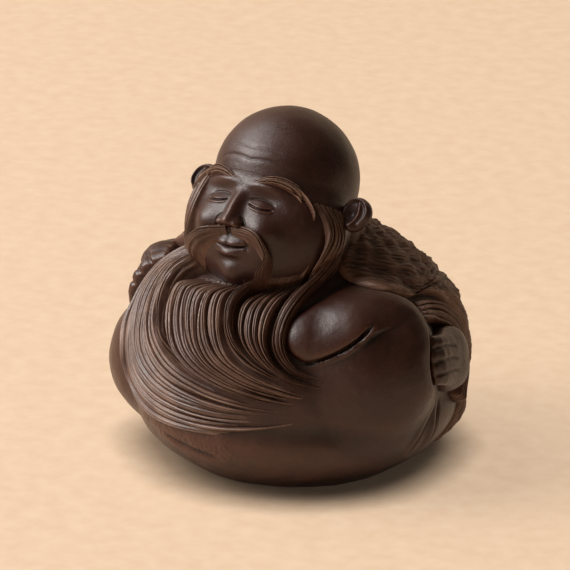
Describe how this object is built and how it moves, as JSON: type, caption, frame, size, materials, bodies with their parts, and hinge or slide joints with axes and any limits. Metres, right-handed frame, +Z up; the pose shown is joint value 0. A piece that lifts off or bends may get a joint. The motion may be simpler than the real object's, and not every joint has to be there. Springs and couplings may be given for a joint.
{
  "type": "clay longevity god figurine",
  "caption": "Ball-shaped hollow clay figurine of a seated long-life god with a high bald dome, a swept beard, a rough cape and a flat foot ring.",
  "frame": {"origin": "middle of the whole figure's bounding box, on the plane it stands on", "axes": "+Z up, the figure faces -Y, its left hand is on the +X side"},
  "size_m": [0.0742, 0.068, 0.072],
  "materials": {
    "smooth_clay": "unglazed dark brown stoneware, rubbed to a satin sheen",
    "hair_clay": "unglazed dark brown stoneware, combed into strands, satin on the ridges",
    "cape_clay": "unglazed dark brown stoneware, scratched with short strokes, matt"
  },
  "bodies": {
    "root": {"body_front_shell": "smooth_clay", "body_back_shell": "smooth_clay", "base_disc": "smooth_clay", "cranium_shell": "smooth_clay", "face_mask": "smooth_clay", "right_ear": "smooth_clay", "left_ear": "smooth_clay", "right_eyebrow": "hair_clay", "left_eyebrow": "hair_clay", "right_moustache": "hair_clay", "left_moustache": "hair_clay", "beard_right_panel": "hair_clay", "beard_chin_panel": "hair_clay", "beard_left_panel": "hair_clay", "left_side_lock": "hair_clay", "cape": "cape_clay", "right_sleeve": "cape_clay", "left_sleeve": "cape_clay", "collar": "cape_clay", "right_hand": "smooth_clay", "left_hand": "smooth_clay"}
  },
  "joints": []
}
